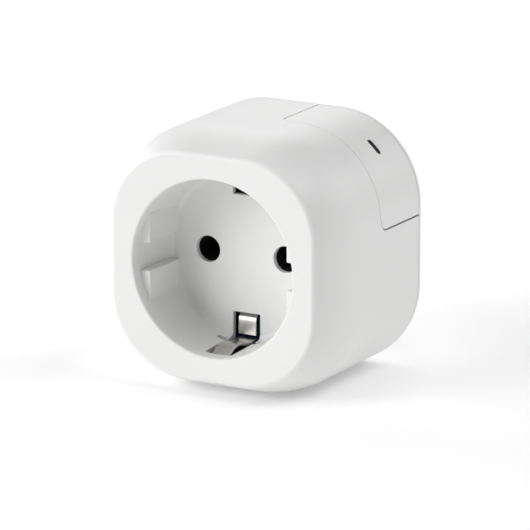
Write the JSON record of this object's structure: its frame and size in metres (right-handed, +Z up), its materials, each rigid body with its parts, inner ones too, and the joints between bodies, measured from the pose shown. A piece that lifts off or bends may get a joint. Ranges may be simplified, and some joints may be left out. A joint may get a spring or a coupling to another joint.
{
  "type": "smart plug",
  "caption": "Rounded-cube smart plug: earthed round-pin socket well in front, matching plug behind, push-button corner panel with a status light.",
  "frame": {"origin": "middle of the whole plug's footprint, on the surface that it stands on", "axes": "+Y runs from the socket face back along the plug pins, +X is right as seen from the socket face, +Z is up"},
  "size_m": [0.0566, 0.0794, 0.0566],
  "materials": {
    "white_shell": "moulded white polycarbonate with a fine satin surface",
    "light_window": "dark smoked polycarbonate, polished",
    "earth_nickel": "nickel-plated spring strip with fine rolling marks",
    "pin_nickel": "nickel-plated brass, polished",
    "sleeve_brass": "plain brass, drawn",
    "screw_steel": "zinc-plated steel",
    "shield_steel": "tinned steel sheet",
    "board_laminate": "glass-fibre laminate with green solder mask",
    "black_plastic": "black moulded plastic",
    "grey_plastic": "grey moulded plastic",
    "blue_plastic": "blue epoxy or moulded case",
    "yellow_tape": "yellow polyester winding tape",
    "wire_brown": "brown flexible insulation",
    "wire_blue": "blue flexible insulation",
    "wire_green": "green and yellow flexible insulation"
  },
  "bodies": {
    "casing": {"front_housing": "white_shell", "rear_cover": "white_shell", "housing_screw_1": "screw_steel", "housing_screw_2": "screw_steel", "housing_screw_3": "screw_steel", "board_screw_left": "screw_steel", "board_screw_right": "screw_steel", "control_board": "board_laminate", "radio_board": "board_laminate", "main_board": "board_laminate", "radio_shield_can": "shield_steel", "board_connector": "black_plastic", "status_led": "light_window", "button_switch_body": "black_plastic", "contact_sleeve_left": "sleeve_brass", "contact_sleeve_right": "sleeve_brass", "contact_carrier": "black_plastic", "plug_pin_upper": "pin_nickel", "plug_pin_lower": "pin_nickel", "earth_bridge": "earth_nickel", "rear_earth_contact_left": "earth_nickel", "rear_earth_contact_right": "earth_nickel", "rear_earth_strap": "earth_nickel", "relay": "blue_plastic", "varistor": "blue_plastic", "transformer": "yellow_tape", "suppression_capacitor": "yellow_tape", "mains_capacitor": "black_plastic", "choke": "black_plastic", "fuse": "grey_plastic", "bridge_rectifier": "black_plastic", "live_wire": "wire_brown", "neutral_wire": "wire_blue", "earth_wire": "wire_green"},
    "button": {"button_panel": "white_shell", "status_light_window": "light_window"},
    "switch_plunger": {"button_switch_plunger": "grey_plastic"},
    "upper_earth_clip": {"earth_clip_top": "earth_nickel"},
    "lower_earth_clip": {"earth_clip_bottom": "earth_nickel"}
  },
  "joints": [
    {"name": "button_press", "type": "slide", "parent": "casing", "child": "button", "axis": [-0.7071, 0, -0.7071], "range_m": [0, 0.0005], "stiffness_N_per_m": 1500},
    {"name": "switch_press", "type": "slide", "parent": "casing", "child": "switch_plunger", "axis": [-0.7071, 0, -0.7071], "range_m": [0, 0.0005]},
    {"name": "upper_clip_flex", "type": "hinge", "parent": "casing", "child": "upper_earth_clip", "pos_m": [0, -0.02245, 0.0469], "axis": [-1, 0, 0], "range_deg": [0, 5], "stiffness_Nm_per_rad": 0.5},
    {"name": "lower_clip_flex", "type": "hinge", "parent": "casing", "child": "lower_earth_clip", "pos_m": [0, -0.02245, 0.0097], "axis": [1, 0, 0], "range_deg": [0, 5], "stiffness_Nm_per_rad": 0.5}
  ],
  "couplings": [
    {"joint": "switch_press", "follows": "button_press", "ratio": 1}
  ]
}
